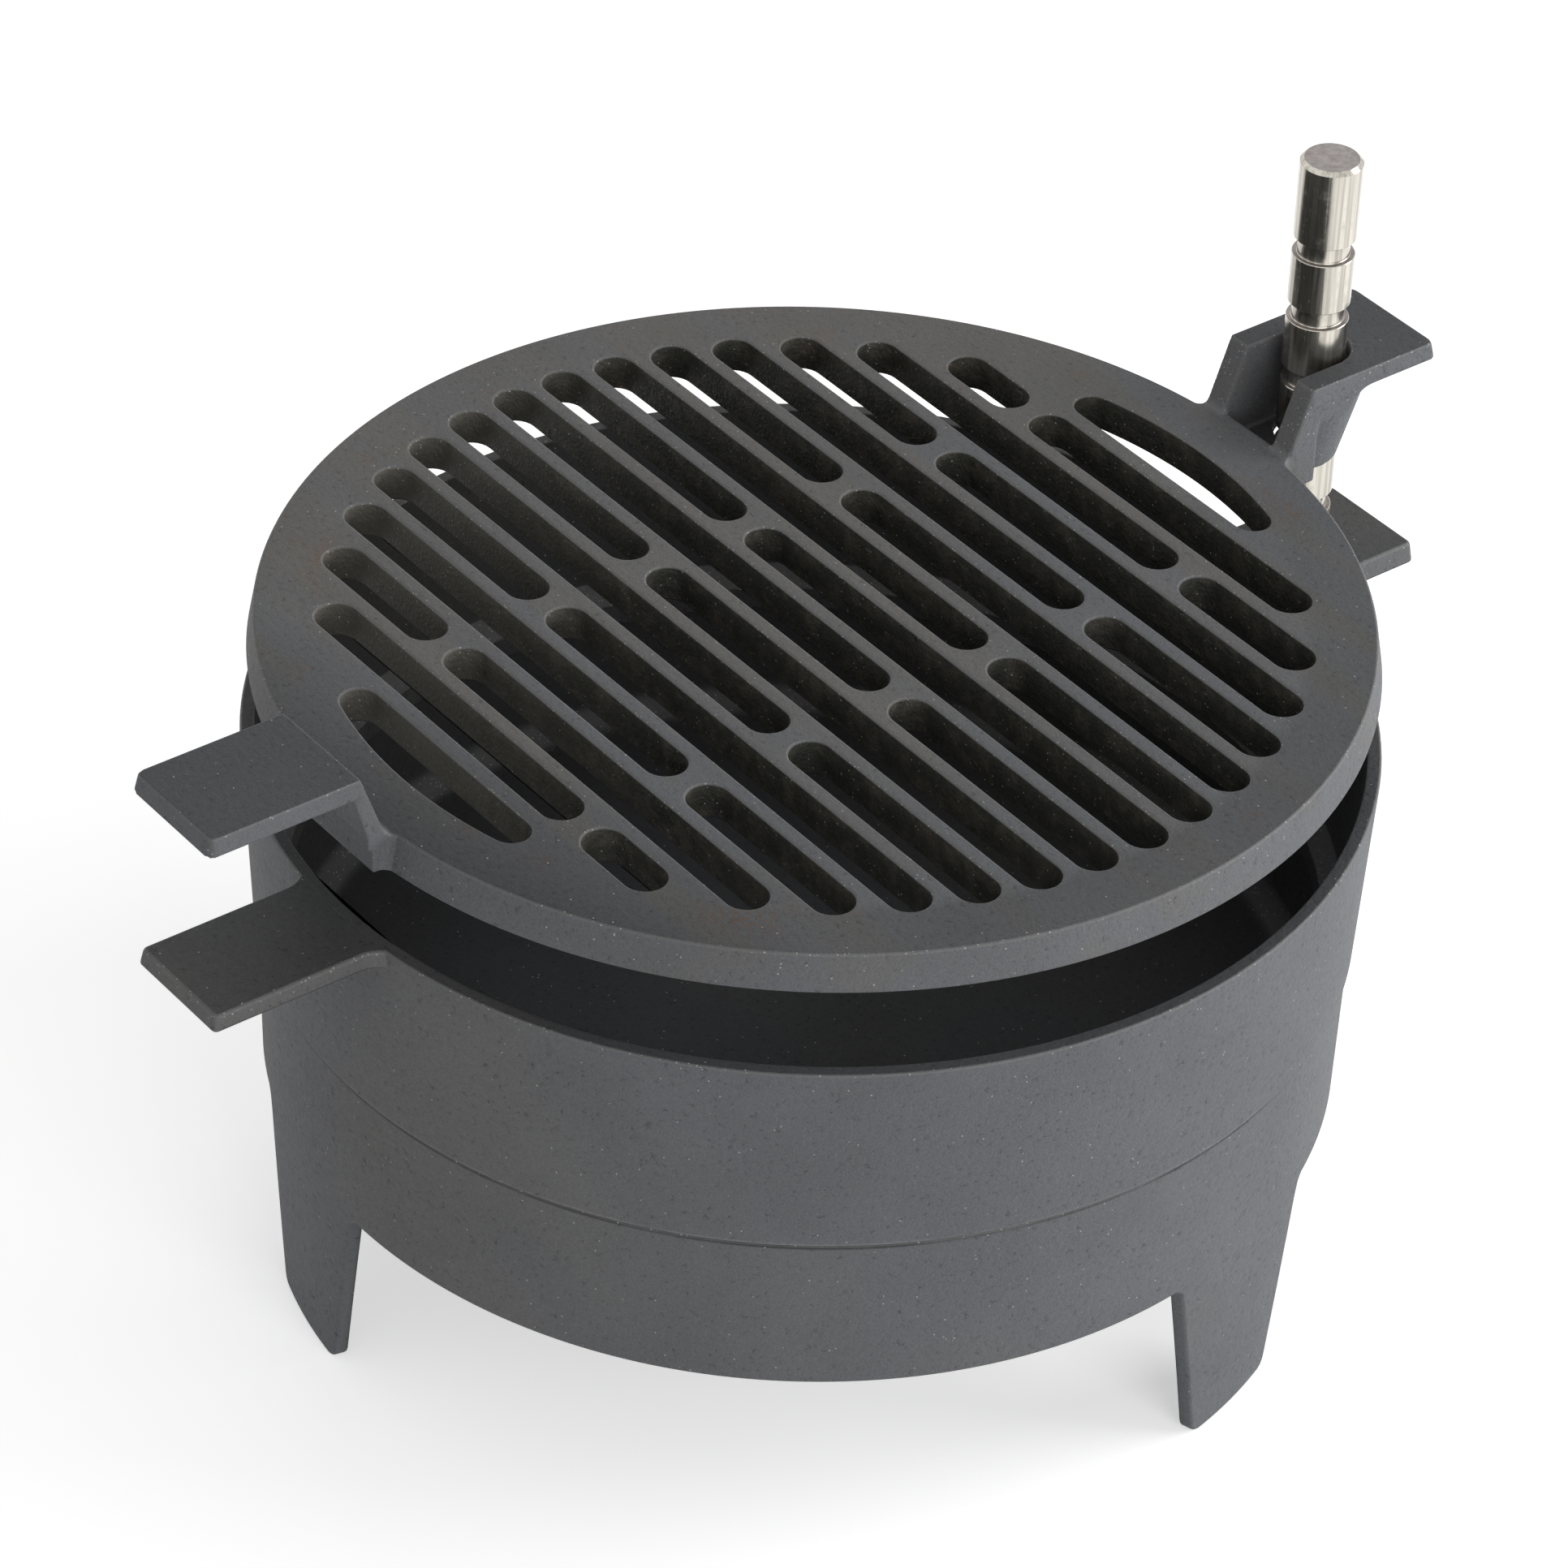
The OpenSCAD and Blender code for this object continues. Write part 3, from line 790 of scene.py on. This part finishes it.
# one groove near the stud's end stands for its thread
profile += [(stud_r - thread_deep, thread_low), (stud_r, thread_top)]
profile += [(stud_r, seat_h), (post_r - groove_top_edge, seat_h), (post_r, seat_h + groove_top_edge)]
neck_r = post_r - groove_deep + groove_round
for i in reversed(range(groove_count)):
    top = post_top - groove_first - i * groove_pitch
    low = top - groove_tall
    profile += [(post_r, low - groove_low_edge), (post_r - groove_low_edge, low)]
    profile += arc(neck_r, low + groove_round, groove_round, 270, 180, 3)
    profile += arc(neck_r, top - groove_round, groove_round, 180, 90, 3)
    profile += [(post_r - groove_top_edge, top), (post_r, top + groove_top_edge)]
profile += [(post_r, post_top - post_chamfer), (post_r - post_chamfer, post_top), (0.0, post_top)]


def on_post(piece):
    """Moves a turned piece from the Z axis to the post's axis."""
    piece.data.transform(Matrix.Translation((0, post_y, 0)))
    return piece


def stainless(name, shade, dull_top):
    """Drawn and turned stainless steel: long scratches, turning marks and a few smears.

    dull_top: how dark the sawn end face is beside the turned sides.
    """
    metal = bpy.data.materials.new(name)
    metal.use_nodes = True
    tree = metal.node_tree
    shader = tree.nodes["Principled BSDF"]
    shader.inputs["Metallic"].default_value = 1.0
    texture = tree.nodes.new("ShaderNodeTexCoord")
    at = texture.outputs["Object"]
    up = node(tree, "ShaderNodeSeparateXYZ", Vector=texture.outputs["Normal"]).outputs["Z"]
    about = node(tree, "ShaderNodeMapping", Vector=at, Location=(0.0, -post_y, 0.0)).outputs[0]
    along = node(tree, "ShaderNodeMapping", Vector=about, Scale=(1.0, 1.0, 0.02)).outputs[0]
    across = node(tree, "ShaderNodeMapping", Vector=about, Scale=(0.05, 0.05, 1.0)).outputs[0]
    scratch = noise(tree, along, 2600.0, 3.0, 0.6)
    strip = noise(tree, along, 620.0, 2.0, 0.5)
    marks = noise(tree, across, 5200.0, 2.0, 0.5)
    smear = noise(tree, at, 240.0, 4.0, 0.6)
    light = (0.64 * shade, 0.61 * shade, 0.54 * shade, 1.0)
    dim = (0.38 * shade, 0.355 * shade, 0.315 * shade, 1.0)
    streak = spread(tree, strip, 0.40, 0.66)
    dull = figure(tree, "MAXIMUM", streak, spread(tree, smear, 0.45, 0.80, 0.0, 0.6))
    colour = blended(tree, dull, light, dim)
    end = spread(tree, up, 0.90, 0.97)
    if dull_top:
        sawn = blended(tree, spread(tree, noise(tree, at, 420.0, 4.0, 0.65), 0.35, 0.7),
                       (0.27, 0.245, 0.235, 1.0), (0.18, 0.162, 0.155, 1.0))
        colour = blended(tree, times(tree, end, dull_top), colour, sawn)
    tree.links.new(colour, shader.inputs["Base Color"])
    rough = spread(tree, scratch, 0.3, 0.7, 0.14, 0.26)
    rough = figure(tree, "ADD", rough, spread(tree, smear, 0.5, 0.8, 0.0, 0.12))
    rough = figure(tree, "ADD", rough, times(tree, end, 0.25))
    tree.links.new(rough, shader.inputs["Roughness"])
    height = figure(tree, "ADD", times(tree, scratch, 0.35), times(tree, strip, 1.6))
    height = figure(tree, "ADD", height, times(tree, marks, 0.25))
    bump = node(tree, "ShaderNodeBump", Height=height, Strength=0.3, Distance=0.00008)
    tree.links.new(bump.outputs["Normal"], shader.inputs["Normal"])
    return metal


def lathe_shading(piece):
    """Leaves the turned corners crisp and the round sides smooth."""
    piece.data.shade_smooth()
    piece.data.set_sharp_from_angle(angle=radians(32))


post = on_post(turned(profile, 128, "steel_post"))
lathe_shading(post)
post.data.materials.append(stainless("post_steel", shade=1.0, dull_top=1.0))
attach(post, "post")
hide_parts("post")

washer_high = seat_h - 0.008
washer_low = washer_high - 0.0025
washer_r = 0.012
washer_edge = 0.0003
washer_bore = stud_r + 0.00025
washer = on_post(turned(
    [(washer_bore, washer_low), (washer_r - washer_edge, washer_low), (washer_r, washer_low + washer_edge),
     (washer_r, washer_high - washer_edge), (washer_r - washer_edge, washer_high),
     (washer_bore, washer_high)], 96, "washer"))
lathe_shading(washer)
fixing_steel = stainless("fixing_steel", shade=0.9, dull_top=0.0)
washer.data.materials.append(fixing_steel)
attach(washer, "post")
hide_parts("post_washer")

nut_tall = 0.010
nut_half = 0.0095
nut_face_r = 0.0078
nut_clear_r = 0.0118
nut_mouth_r = 0.0068
nut_low = washer_low - nut_tall
hexagon = [(x, y, nut_low) for x, y in arc(0, 0, nut_half / cos(radians(30)), 0, 300, 5)]
nut = prism(hexagon, (0, 0, 0), (0, 0, nut_tall), "nut")
worked(nut, "INTERSECT", turned(
    [(0.0, nut_low - 0.001), (nut_face_r, nut_low - 0.001), (nut_clear_r, nut_low + 0.0012),
     (nut_clear_r, washer_low - 0.0012), (nut_face_r, washer_low + 0.001), (0.0, washer_low + 0.001)],
    96, "cone"))
worked(nut, "DIFFERENCE", turned(
    [(0.0, nut_low - 0.002), (nut_mouth_r, nut_low - 0.0002), (stud_r, nut_low + 0.0006),
     (stud_r, washer_low + 0.002), (0.0, washer_low + 0.002)], 64, "bore"))
on_post(nut)
lathe_shading(nut)
nut.data.materials.clear()
nut.data.materials.append(fixing_steel)
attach(nut, "post")
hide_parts("post_nut")
